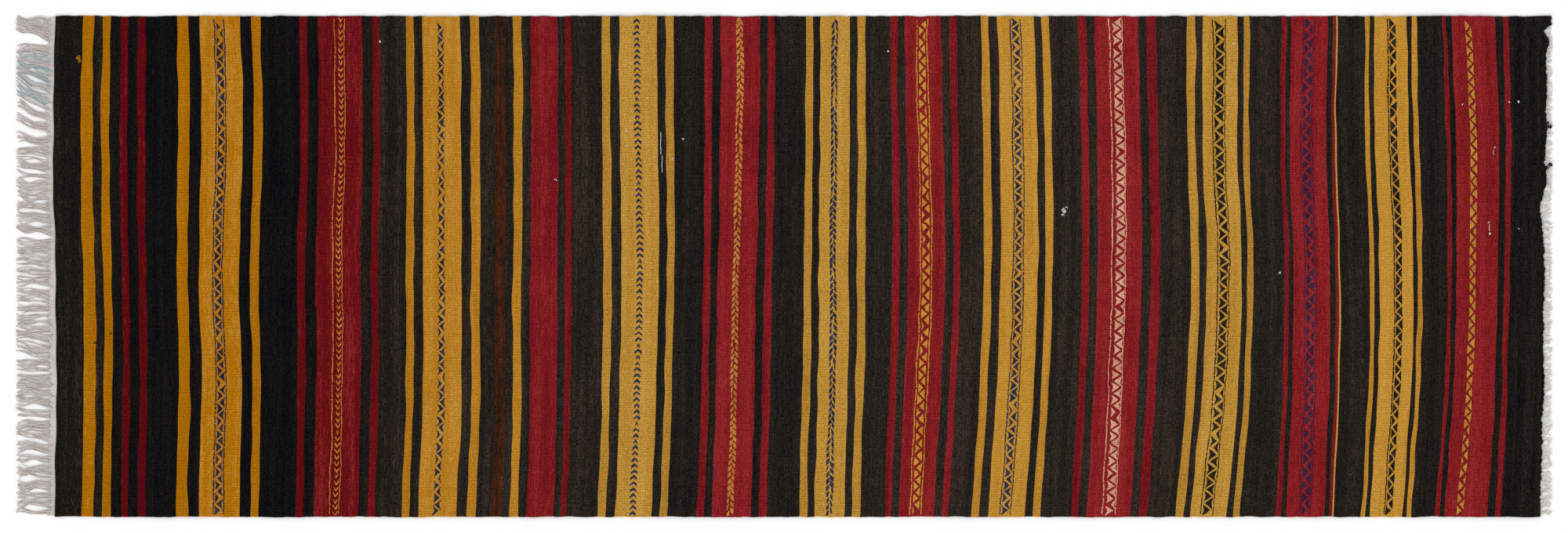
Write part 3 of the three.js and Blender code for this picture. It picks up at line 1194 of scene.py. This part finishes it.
@dataclass
class Figures:
    """The figured bands: motifs of a second yarn on both faces of a ground."""

    cloth: Cloth
    dyes: dict[str, bpy.types.Material]
    margin: float = 3.2 * MM  # left beside a band in the bake layout
    proud: float = 0.4 * MM  # how far a motif stands out of the ground
    sunk: float = 0.5 * MM  # how far it reaches into the ground
    uneven: float = 0.7 * MM  # waver of a motif's outline
    dash: float = 9.0 * MM  # length of one stitch of a border line
    lean: float = 0.7  # how far a slanting stitch leans, as a share of its length
    stamps: dict[Kind, Stamp] = field(default_factory=dict)
    pieces: dict[str, bpy.types.Object] = field(default_factory=dict)

    def __post_init__(self) -> None:
        """Model the shapes that the bands repeat."""
        maker = Stamps()
        self.stamps = {
            Kind.STITCHES: maker.bar(),
            Kind.TRIANGLES: maker.triangle(0.0),
            Kind.NOTCHED: maker.triangle(0.28),
            Kind.HOOKS: maker.triangle(0.45),
            Kind.CHEVRONS: maker.chevron(0.9),
            Kind.THIN_CHEVRONS: maker.chevron(0.62),
        }

    def press(
        self,
        shells: Shells,
        stamp: Stamp,
        centre: tuple[float, float],
        size: tuple[float, float],
        band: Stripe,
        shade: float,
        lean: float = 0.0,
    ) -> None:
        """Copy a stamp onto both faces of the cloth.

        Args:
            shells: The band's shells.
            stamp: The shape.
            centre: The place along and across of its middle.
            size: Its size along and across. A size below 0 mirrors it.
            band: The band's stripe in the plan.
            shade: Its shade.
            lean: How far its +X side is pushed towards +Y, as a share of its size.
        """
        plan = self.cloth.plan
        along = centre[0] + stamp.points[:, 0] * size[0]
        across = centre[1] + (stamp.points[:, 1] + lean * stamp.points[:, 0]) * size[1]
        along = along + self.uneven * Waves(41, 0.012, 0.012)(along, across)
        across = across + self.uneven * Waves(42, 0.012, 0.012)(along, across)
        across = np.clip(across, 2 * MM - plan.half, plan.half - 2 * MM)
        lift = (stamp.points[:, 2] + 0.5) * (self.proud + self.sunk) - self.sunk
        turned = size[0] * size[1] < 0
        span = 2 * (band.wide + self.margin)
        for face in (1, -1):
            height = plan.thick + lift if face > 0 else -lift
            points = self.cloth.lay(along, across, height)
            reverse = turned != (face < 0)
            faces = [corners[::-1] if reverse else corners for corners in stamp.faces]
            place = np.stack([along, across], axis=-1)
            walk = along - band.start + (0 if face > 0 else band.wide + self.margin)
            spot = np.clip(np.stack([walk / span, plan.bake_share(across)], axis=-1), 0, 1)
            shells.add(points, faces, place, spot[np.concatenate(faces)], shade)

    def motif(self, figure: Figure, row: int, rng: np.random.Generator) -> tuple[float, float]:
        """Choose the size of one motif, which is uneven and may be broken.

        Args:
            figure: The band's motif.
            row: 1 for the row that points to +X, and -1 for the other.
            rng: The band's own random numbers.

        Returns:
            Its size along and across. A size below 0 mirrors it.
        """
        gap = figure.gap * (0.2 if figure.chevrons else 0.9)
        deep = figure.wide
        if figure.kind is Kind.STITCHES:
            deep /= 2
        elif not figure.chevrons:
            deep -= figure.gap * 0.7
        deep *= rng.uniform(0.86, 1.0)
        tall = (figure.repeat - gap) * rng.uniform(0.88, 1.0)
        if rng.random() < figure.broken:
            deep *= rng.uniform(0.5, 0.8)
        return row * deep * MM, figure.points * tall * MM

    def band(self, node: str, figure: Figure) -> bpy.types.Object:
        """Lay one figured band.

        Args:
            node: Its CAD node.
            figure: Its motif.

        Returns:
            The band's piece.
        """
        plan = self.cloth.plan
        stripe = plan.of(node)[0]
        dye, number = node.split("_")[1:3]
        rng = np.random.default_rng(100 + int(number))
        shells = Shells()
        repeat = figure.repeat * MM
        lean = self.lean if figure.kind is Kind.STITCHES else 0.0
        rows = ((1, 0.0),) if figure.chevrons else ((1, 0.0), (-1, 0.5))
        for index in range(int(2 * plan.half / repeat) + 1):
            shade = figure.shade + rng.uniform(-0.25, 0.25)
            for row, offset in rows:
                middle = (index + 0.5 + offset) * repeat - plan.half + rng.uniform(-0.6, 0.6) * MM
                if abs(middle) > plan.half - repeat * 0.45:
                    continue
                size = self.motif(figure, row, rng)
                root = stripe.middle + figure.shift * MM
                if not figure.chevrons:
                    root -= row * (figure.wide * MM - abs(size[0])) / 2
                self.press(shells, self.stamps[figure.kind], (root, middle), size, stripe, shade, lean)
        for offset, wide in figure.lines:
            self.border(shells, stripe, offset * MM, wide * MM, rng)
        piece = shells.build(f"{dye}_figure_{number}", self.dyes[dye])
        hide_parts(node)
        log.info("laid %s, %d faces", piece.name, len(piece.data.polygons))
        return piece

    def border(
        self, shells: Shells, stripe: Stripe, offset: float, wide: float, rng: np.random.Generator
    ) -> None:
        """Lay the stitched line at one side of a band.

        Args:
            shells: The band's shells.
            stripe: The band's stripe.
            offset: The line's place from the middle of the band.
            wide: The line's width.
            rng: The band's own random numbers.
        """
        half = self.cloth.plan.half
        for across in np.arange(-half + self.dash, half - self.dash, self.dash):
            size = (wide, self.dash * rng.uniform(0.75, 1.1))
            centre = (stripe.middle + offset, across + rng.uniform(-1, 1) * MM)
            self.press(shells, self.stamps[Kind.STITCHES], centre, size, stripe, rng.uniform(-0.2, 0.2))

    def build(self) -> None:
        """Lay every band."""
        for node, figure in FIGURES.items():
            self.pieces[node] = self.band(node, figure)


@dataclass
class Strand:
    """Adds plied strands of yarn to a mesh, each a closed tube."""

    sides: int = 5
    cells: int = 20  # strands side by side in the bake layout
    tiers: int = 16  # rows of strands in it
    fill: tuple[float, float] = (0.9, 0.94)  # share of its place in the layout that a strand fills
    stagger: float = 37.1 * MM  # how far the yarn's pattern moves on from one strand to the next
    laid: int = 0  # strands laid so far

    def add(self, shells: Shells, path: np.ndarray, radius: np.ndarray, shade: float) -> None:
        """Add one strand.

        Args:
            shells: The piece's shells.
            path: The points of its centre line.
            radius: The radius at each point.
            shade: Its shade.
        """
        count = len(path)
        ahead = np.gradient(path, axis=0)
        ahead /= np.linalg.norm(ahead, axis=1)[:, None]
        side = np.cross(ahead, (0, 0, 1.0))
        side /= np.maximum(np.linalg.norm(side, axis=1), 1e-9)[:, None]
        up = np.cross(side, ahead)
        turn = np.linspace(0, 2 * math.pi, self.sides, endpoint=False)
        spokes = np.cos(turn)[:, None] * side[:, None, :] + np.sin(turn)[:, None] * up[:, None, :]
        points = path[:, None, :] + spokes * radius[:, None, None]
        number = np.arange(count * self.sides).reshape(count, self.sides)
        after = np.roll(number, -1, axis=1)
        faces = np.stack([number[:-1], after[:-1], after[1:], number[1:]], axis=-1).reshape(-1, 4).tolist()
        faces += [number[0][::-1].tolist(), number[-1].tolist()]
        steps = np.concatenate([[0], np.cumsum(np.linalg.norm(np.diff(path, axis=0), axis=1))])
        around = np.arange(self.sides) * 2 * math.pi * float(radius.mean()) / self.sides
        offset = self.laid * self.stagger
        plan = np.stack(np.broadcast_arrays(steps[:, None] + offset, around[None, :] + offset), axis=-1)
        column, tier = self.laid % self.cells, (self.laid // self.cells) % self.tiers
        self.laid += 1
        left, low = column / self.cells, tier / self.tiers
        width, tall = self.fill[0] / self.cells, self.fill[1] / self.tiers
        bake = []
        for row in range(count - 1):
            for col in range(self.sides):
                for r, c in ((row, col), (row, col + 1), (row + 1, col + 1), (row + 1, col)):
                    bake.append((left + width * c / self.sides, low + tall * r / (count - 1)))
        bake += [(left, low)] * self.sides + [(left, low + tall)] * self.sides
        shells.add(points.reshape(-1, 3), faces, plan.reshape(-1, 2), np.array(bake), shade)


# How far the tips of each fringe stray towards +Y, at places across the rug.
SHORT_SLANTS = ((-0.50, 0.003), (0.00, 0.003), (0.10, 0.000), (0.50, 0.003))
LONG_SLANTS = (
    (-0.50, 0.000),
    (-0.30, 0.003),
    (0.00, 0.003),
    (0.10, 0.005),
    (0.24, 0.008),
    (0.26, 0.010),
    (0.28, 0.030),
    (0.34, 0.034),
    (0.39, 0.022),
    (0.432, 0.000),
    (0.444, -0.008),
    (0.450, 0.024),
    (0.475, 0.012),
    (0.50, -0.004),
)


@dataclass(frozen=True)
class Tuft:
    """A group of neighbouring strands of a fringe that lie together, and how they lie."""

    middle: float  # the middle of its roots across the rug
    slant: float  # how far its tips stray towards +Y
    waist: float  # share of its width that is lost halfway
    foot: float  # share of its width that is lost at the tips
    waver: float  # how far it wavers sideways
    pace: float  # how far its waver turns from root to tip, in radians
    phase: float  # where its waver starts


@dataclass
class Fringe:
    """The loose ends of the warp at one end of the rug, which lie in tufts with gaps between."""

    cloth: Cloth
    name: str
    node: str
    woven: float  # the woven edge that it leaves
    tips: float  # where the longest strands end along X
    direction: int  # -1 towards -X and 1 towards +X
    roots: int
    radius: float
    shortest: float  # length of the shortest strand, as a share of the longest
    waver: float  # sideways waver of a tuft
    loose: float  # how far single strands stray from their tuft
    slants: tuple[tuple[float, float], ...]  # places across, and how far the tips stray there
    tuft_roots: tuple[int, int]  # fewest roots in a tuft, and one more than the most
    seed: int
    ply: int = 2  # strands from each root
    tinted: tuple[float, float] = (0.0, 0.0)  # where the stretch of tinted strands starts and ends
    hooked: float = 0.25  # share of the strands whose tip curls back
    hook: float = 0.28  # share of its length that curls
    steps: int = 14  # points along a strand

    def tuft(self, middle: float, rng: np.random.Generator) -> Tuft:
        """Choose how one tuft lies.

        Args:
            middle: The middle of its roots.
            rng: The fringe's own random numbers.

        Returns:
            The tuft.
        """
        slant = float(np.interp(middle, *zip(*self.slants))) + rng.normal(0, 0.6) * self.waver
        return Tuft(
            middle,
            slant,
            rng.uniform(0.0, 0.4),
            rng.uniform(-0.15, 0.42),
            self.waver * rng.uniform(0.3, 1.4),
            rng.uniform(4, 9),
            rng.uniform(0, 2 * math.pi),
        )

    def path(self, across: float, tuft: Tuft, rng: np.random.Generator) -> np.ndarray:
        """Draw the centre line of one strand.

        Args:
            across: Where it leaves the cloth.
            tuft: The tuft that it lies in.
            rng: The fringe's own random numbers.

        Returns:
            The points.
        """
        share = np.linspace(0, 1, self.steps)
        offset = across - tuft.middle
        gather = 1 - tuft.waist * np.sin(math.pi * share) ** 2 - tuft.foot * share**2
        y = tuft.middle + offset * gather + tuft.slant * share**1.15
        y = y + tuft.waver * share * (np.sin(tuft.phase + tuft.pace * share) - math.sin(tuft.phase))
        phase = rng.uniform(0, 2 * math.pi)
        y = y + self.loose * rng.uniform(0.2, 1.4) * np.sin(phase + share * rng.uniform(6, 13)) * share
        y = y + self.loose * rng.normal(0, 0.5) * share**2
        edge = self.cloth.lay(np.array([self.woven]), np.array([across]), np.array([0.0]))[0, 0]
        start = edge - self.direction * 2 * MM
        x = start + (self.tips - start) * share * rng.uniform(self.shortest, 1.0)
        if rng.random() < self.hooked:
            hook = np.clip(share - 1 + self.hook, 0, 1) / self.hook
            y = y + rng.choice((-1, 1)) * self.radius * 5 * hook**2
            x = x - self.direction * self.radius * 4 * hook**2
        floor = self.radius * (1 + 1.7 * rng.integers(0, 2) + 0.3 * np.sin(phase + share * 9))
        middle = self.cloth.plan.thick * 0.45 + self.cloth.rise(np.full(self.steps, edge), y)
        drop = np.clip(share / 0.2, 0, 1)
        z = middle * (1 - drop) + floor * drop
        return np.stack([x, y, np.maximum(z, self.radius)], axis=-1)

    def build(self, material: bpy.types.Material, body: str) -> bpy.types.Object:
        """Lay every strand of the fringe.

        Args:
            material: The yarn's material.
            body: The body that the fringe rides on.

        Returns:
            The fringe's piece.
        """
        rng = np.random.default_rng(self.seed)
        half = self.cloth.plan.half - 3 * MM
        pitch = 2 * half / self.roots
        shells = Shells()
        strand = Strand()
        root = 0
        while root < self.roots:
            count = min(int(rng.integers(*self.tuft_roots)), self.roots - root)
            tuft = self.tuft(-half + (root + count / 2) * pitch, rng)
            for yarn in range(count * self.ply):
                across = -half + (root + (yarn + 0.5) / self.ply) * pitch + rng.uniform(-0.08, 0.08) * pitch
                path = self.path(across, tuft, rng)
                tint = self.tinted[0] < across < self.tinted[1]
                shade = rng.uniform(0.2, 0.9) if tint and rng.random() < 0.6 else rng.uniform(-0.3, 0.12)
                girth = np.ones(len(path))
                girth[-1] = 0.6
                strand.add(shells, path, girth * self.radius * rng.uniform(0.85, 1.12), shade)
            root += count
        piece = shells.build(self.name, material, 75.0)
        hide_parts(self.node)
        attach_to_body(piece, body)
        log.info("tied %s, %d strands", piece.name, self.roots * self.ply)
        return piece


@dataclass
class Ends:
    """The two ends of the rug: their fringes, the root strip and the twined edges."""

    cloth: Cloth
    long_tips: float = -1.5 * MM  # how far along X the visual fringe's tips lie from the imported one's
    short_tips: float = 2.5 * MM
    long_twine: float = 0.9 * MM  # radius of the twined cord beside the long fringe
    short_twine: float = 0.7 * MM
    strip_reach: float = 12 * MM  # how far the root strip reaches from the woven edge
    strip_waves: Waves = Waves(51, 1, 0.009)  # its ragged far edge
    strip_thick: float = 1.2 * MM

    def fringes(self) -> tuple[Fringe, Fringe]:
        """Describe the long fringe and the short one."""
        plan = self.cloth.plan
        long_fringe = Fringe(
            self.cloth,
            "long_fringe",
            "fringe_long",
            woven=plan.start,
            tips=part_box("fringe_long")[0].x + self.long_tips,
            direction=-1,
            roots=165,
            radius=1.05 * MM,
            shortest=0.95,
            waver=4.6 * MM,
            loose=2.6 * MM,
            slants=LONG_SLANTS,
            tuft_roots=(1, 5),
            seed=61,
            tinted=(0.31, 0.43),
        )
        short_fringe = Fringe(
            self.cloth,
            "short_fringe",
            "fringe_short",
            woven=plan.end,
            tips=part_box("fringe_short")[1].x + self.short_tips,
            direction=1,
            roots=180,
            radius=0.9 * MM,
            shortest=0.72,
            waver=2.4 * MM,
            loose=1.4 * MM,
            slants=SHORT_SLANTS,
            tuft_roots=(1, 4),
            seed=62,
        )
        return long_fringe, short_fringe

    def twining(self, woven: float, direction: int, radius: float) -> Shells:
        """Lay the twined cord along a woven edge.

        Args:
            woven: The woven edge.
            direction: -1 or 1, towards the fringe along X.
            radius: The cord's radius.

        Returns:
            The cord's shells.
        """
        half = self.cloth.plan.half - 2 * MM
        count = 260
        across = np.linspace(-half, half, count)
        height = np.full(count, self.cloth.plan.thick * 0.6)
        points = self.cloth.lay(np.full(count, woven), across, height)
        points[:, 0] += direction * radius * 0.7
        shells = Shells()
        Strand(cells=1, tiers=1).add(shells, points, np.full(count, radius), 0.0)
        return shells

    def strip(self, woven: float, direction: int) -> Shells:
        """Shape the root strip, where the warps are still held together.

        Args:
            woven: The woven edge.
            direction: -1 or 1, towards the fringe along X.

        Returns:
            The strip's shells.
        """
        half = self.cloth.plan.half - 3 * MM
        count = 601
        across = np.linspace(-half, half, count)
        edge = self.cloth.lay(np.full(count, woven), across, np.zeros(count))
        shells = Shells()
        lengths = self.strip_reach * (1 + 0.28 * self.strip_waves(np.zeros(count), across))
        near, far = edge[:, 0] - direction * MM, edge[:, 0] + direction * lengths
        base = self.cloth.plan.thick * 0.36 + edge[:, 2]
        thick = self.strip_thick
        profile = ((near, base), (far, base - thick), (far, base), (near, base + thick))
        ring = np.stack([np.stack([x, edge[:, 1], z], axis=-1) for x, z in profile], axis=1)
        if direction < 0:
            ring = ring[:, ::-1]
        number = np.arange(count * 4).reshape(count, 4)
        after = np.roll(number, -1, axis=1)
        faces = np.stack([number[:-1], number[1:], after[1:], after[:-1]], axis=-1).reshape(-1, 4).tolist()
        faces += [number[0].tolist(), number[-1][::-1].tolist()]
        plan = np.stack([ring[..., 0], ring[..., 1]], axis=-1).reshape(-1, 2)
        around = np.tile([0.0, 0.3, 0.5, 0.8], count)
        bake = np.stack([around, np.repeat(np.linspace(0, 1, count), 4)], axis=-1)
        shells.add(ring.reshape(-1, 3), faces, plan, bake[np.concatenate(faces)], 0.0)
        return shells

    def build(self) -> dict[str, list[bpy.types.Object]]:
        """Tie both fringes and bind both woven edges.

        Returns:
            The pieces on the cloth of each end, by the CAD node of its yarn.
        """
        plan = self.cloth.plan
        long_body, short_body = plan.body("fringe_long"), plan.body("fringe_short")
        warp, twine = WARP.material(), TWINING.material()
        long_fringe, short_fringe = self.fringes()
        long_loose = long_fringe.build(warp, long_body)
        short_loose = short_fringe.build(STUBS.material(), short_body)
        root_strip = self.strip(plan.start, -1).build("root_strip", warp)
        long_edge = self.twining(plan.start, -1, self.long_twine).build("twined_edge_long", twine, 75.0)
        short_edge = self.twining(plan.end, 1, self.short_twine).build("twined_edge_short", twine, 75.0)
        for piece, body in ((root_strip, long_body), (long_edge, long_body), (short_edge, short_body)):
            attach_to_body(piece, body)
            log.info("bound %s", piece.name)
        return {
            plan.stripes[0].node: [long_loose, root_strip, long_edge],
            plan.stripes[-1].node: [short_loose, short_edge],
        }


@dataclass(frozen=True)
class Scrap:
    """A scrap of loose yarn on the rug: a curl, or a lying thread if it has no turns."""

    along: float
    across: float
    size: float  # width of the curl, or length of the thread
    turns: float = 1.3
    radius: float = 0.6 * MM  # of the yarn


@dataclass
class Scraps:
    """The scraps of one yarn, as one piece for each leaf of the rug that they lie on."""

    cloth: Cloth
    name: str
    slot: str
    scraps: tuple[Scrap, ...]
    seed: int
    steps: int = 12  # points along a scrap

    def path(self, scrap: Scrap, rng: np.random.Generator) -> np.ndarray:
        """Draw the centre line of one scrap.

        Args:
            scrap: The scrap.
            rng: The yarn's own random numbers.

        Returns:
            The points.
        """
        share = np.linspace(0, 1, self.steps)
        angle = rng.uniform(0, 2 * math.pi) + share * scrap.turns * 2 * math.pi
        if scrap.turns:
            wide = scrap.size / 2 * (1 - 0.75 * share)
            x = scrap.along + wide * np.cos(angle)
            y = scrap.across + wide * np.sin(angle)
            climb = 0.3 * share
        else:
            x = scrap.along + 0.3 * MM * np.sin(share * 9)
            y = scrap.across + scrap.size * (0.5 - share)
            climb = np.zeros(self.steps)
        top = self.cloth.plan.thick + self.cloth.rise(x, y)
        return np.stack([x, y, top + scrap.radius * (0.2 + climb)], axis=-1)

    def build(self, material: bpy.types.Material) -> list[bpy.types.Object]:
        """Scatter the scraps.

        Args:
            material: The yarn's material.

        Returns:
            The pieces.
        """
        rng = np.random.default_rng(self.seed)
        strand = Strand()
        shells: dict[str, Shells] = {}
        for scrap in self.scraps:
            path = self.path(scrap, rng)
            home = shells.setdefault(self.cloth.plan.leaf(scrap.along), Shells())
            girth = scrap.radius * rng.uniform(0.7, 1.2, len(path))
            strand.add(home, path, girth, rng.uniform(-0.2, 0.6))
        pieces = []
        for body, shell in shells.items():
            piece = shell.build(f"{self.name}_on_{body}", material, 75.0)
            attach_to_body(piece, body)
            pieces.append(piece)
        log.info("scattered %s, %d scraps on %d leaves", self.name, len(self.scraps), len(pieces))
        return pieces


# Where the scraps of each yarn lie.
LINT_SCRAPS = (
    Scrap(0.559, 0.112, 9 * MM, 1.8, 0.8 * MM),
    Scrap(0.556, 0.103, 6 * MM, 1.0, 0.7 * MM),
    Scrap(0.5625, 0.117, 7 * MM, 0.5, 0.7 * MM),
    Scrap(0.560, 0.110, 6 * MM, 1.2, 0.8 * MM),
    Scrap(0.990, -0.012, 5 * MM),
    Scrap(-0.2015, 0.2545, 4 * MM),
    Scrap(-0.222, 0.2135, 6 * MM, 0.7),
    Scrap(-0.246, 0.246, 44 * MM, 0.0, 0.75 * MM),
    Scrap(-0.2435, 0.205, 34 * MM, 0.0, 0.6 * MM),
    Scrap(0.656, 0.095, 110 * MM, 0.0, 0.45 * MM),
    Scrap(-0.457, 0.1725, 7 * MM, 0.6),
    Scrap(-0.315, 0.271, 3 * MM),
    Scrap(-0.3135, 0.242, 3 * MM),
    Scrap(1.466, 0.329, 4 * MM, 1.4, 1.0 * MM),
    Scrap(1.448, 0.329, 3 * MM),
    Scrap(1.418, 0.239, 6 * MM, 0.5),
    Scrap(1.416, 0.228, 10 * MM, 0.0, 0.5 * MM),
    Scrap(1.409, 0.066, 4 * MM, 1.4, 0.9 * MM),
    Scrap(1.408, 0.078, 14 * MM, 0.0, 0.5 * MM),
    Scrap(1.407, 0.087, 5 * MM, 0.6),
    Scrap(1.466, 0.075, 4 * MM, 0.6),
    Scrap(1.355, 0.323, 4 * MM, 0.6),
    Scrap(0.897, 0.446, 5 * MM),
    Scrap(0.208, 0.430, 4 * MM),
    Scrap(-0.806, 0.449, 5 * MM),
)
DARK_SCRAPS = (
    Scrap(-1.3475, 0.2815, 6 * MM),
    Scrap(-1.344, -0.133, 6 * MM),
    Scrap(-1.3755, -0.152, 5 * MM),
    Scrap(1.529, 0.280, 9 * MM, 1.6, 1.3 * MM),
    Scrap(1.523, 0.286, 8 * MM, 1.1, 1.2 * MM),
    Scrap(1.529, 0.203, 9 * MM, 1.7, 1.3 * MM),
    Scrap(1.522, 0.197, 8 * MM, 1.2, 1.2 * MM),
)
YELLOW_SCRAPS = (
    Scrap(-1.4085, 0.418, 9 * MM, 1.5, 1.2 * MM),
    Scrap(-1.406, 0.410, 7 * MM, 1.2, 1.1 * MM),
)


@dataclass
class Studio:
    """The floor, the light and the camera."""

    low: Sequence[float]
    high: Sequence[float]
    margin: float = 1.0214  # width of the view, as a share of the rug's length
    floor_size: float = 60.0
    floor_pale: float = 0.93
    camera_height: float = 5.0
    room_light: float = 0.92
    lamp_light: float = 0.7
    lamp_wide: float = 25.0  # how wide the lamp looks from the rug, in degrees
    lamp_turn: tuple[float, float] = (38.0, -18.0)  # how far the lamp is turned about X and Y, in degrees

    def floor(self) -> None:
        """Lay a plain pale floor under the rug."""
        bpy.ops.object.select_all(action="DESELECT")
        bpy.ops.mesh.primitive_plane_add(size=self.floor_size, location=(0, 0, -0.2 * MM))
        piece = bpy.context.object
        piece.name = "floor"
        material = bpy.data.materials.new("floor")
        material.use_nodes = True
        shader = material.node_tree.nodes["Principled BSDF"]
        shader.inputs["Base Color"].default_value = (*[self.floor_pale] * 3, 1)
        shader.inputs["Roughness"].default_value = 1.0
        piece.data.materials.append(material)
        piece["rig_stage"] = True

    def light(self) -> None:
        """Light the rug evenly, with a soft lamp from one side to bring out the ribs."""
        world = bpy.data.worlds.new("studio")
        world.use_nodes = True
        sky = world.node_tree.nodes["Background"]
        sky.inputs["Color"].default_value = (1, 1, 1, 1)
        sky.inputs["Strength"].default_value = self.room_light
        bpy.context.scene.world = world
        lamp = bpy.data.lights.new("lamp", "SUN")
        lamp.energy = self.lamp_light
        lamp.angle = math.radians(self.lamp_wide)
        holder = bpy.data.objects.new("lamp", lamp)
        holder.rotation_euler = (math.radians(self.lamp_turn[0]), math.radians(self.lamp_turn[1]), 0)
        bpy.context.scene.collection.objects.link(holder)

    def camera(self) -> None:
        """Look straight down on the middle of the rug, with no perspective."""
        lens = bpy.data.cameras.new("camera")
        lens.type = "ORTHO"
        lens.ortho_scale = (self.high[0] - self.low[0]) * self.margin
        holder = bpy.data.objects.new("camera", lens)
        middle = [(low + high) / 2 for low, high in zip(self.low, self.high)]
        holder.location = (middle[0], middle[1], self.camera_height)
        bpy.context.scene.collection.objects.link(holder)
        bpy.context.scene.camera = holder
        bpy.context.scene.view_settings.view_transform = "Standard"

    def build(self) -> None:
        """Set the floor, the light and the camera."""
        self.floor()
        self.light()
        self.camera()


def attach(plan: Plan, piece: bpy.types.Object, body: str) -> None:
    """Bake into its mesh the transform of a piece that reaches into a fold and leave it on no body; let every
    other piece ride on its body.

    Args:
        plan: The weaver's plan.
        piece: The piece.
        body: The body of its CAD node.
    """
    count = len(piece.data.vertices)
    points = np.zeros(count * 3)
    piece.data.vertices.foreach_get("co", points)
    low, high = points[::3].min(), points[::3].max()
    for fold in plan.folds:
        if fold.holds(low, high):
            fold.end
            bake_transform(piece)
            return
    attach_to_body(piece, body)


def stand_for_warps(plan: Plan) -> None:
    """Hide the imported warp of each leaf.

    Args:
        plan: The weaver's plan.
    """
    for node in plan.frame["nodes"]:
        if node.startswith("warp_"):
            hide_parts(node)


def main() -> None:
    """Build the rug on the frame, then the studio."""
    logging.basicConfig(level=logging.INFO, format="%(name)s: %(message)s")
    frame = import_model()
    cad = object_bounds()
    plan = Plan(frame)
    cloth = Cloth(plan)
    dyes = {name: dye.material() for name, dye in DYES.items()}

    weave = Weave(cloth, dyes)
    weave.build()
    figures = Figures(cloth, dyes)
    figures.build()
    for node, piece in [*weave.pieces.items(), *figures.pieces.items()]:
        attach(plan, piece, plan.body(node))
    extras = Ends(cloth).build()
    Scraps(cloth, "lint", "warp_yarn", LINT_SCRAPS, 71).build(LINT.material())
    Scraps(cloth, "loose_dark_wool", "dark_wool", DARK_SCRAPS, 72).build(DARK_FLUFF.material())
    Scraps(cloth, "loose_yellow_wool", "yellow_wool", YELLOW_SCRAPS, 73).build(YELLOW_FLUFF.material())

    stand_for_warps(plan)
    for before, stripe in zip(plan.stripes, plan.stripes[1:]):
        if stripe.node in figures.pieces:
            extras.setdefault(before.node, []).append(figures.pieces[stripe.node])
    weave.declare()

    Studio(*cad).build()


if __name__ == "__main__":
    main()
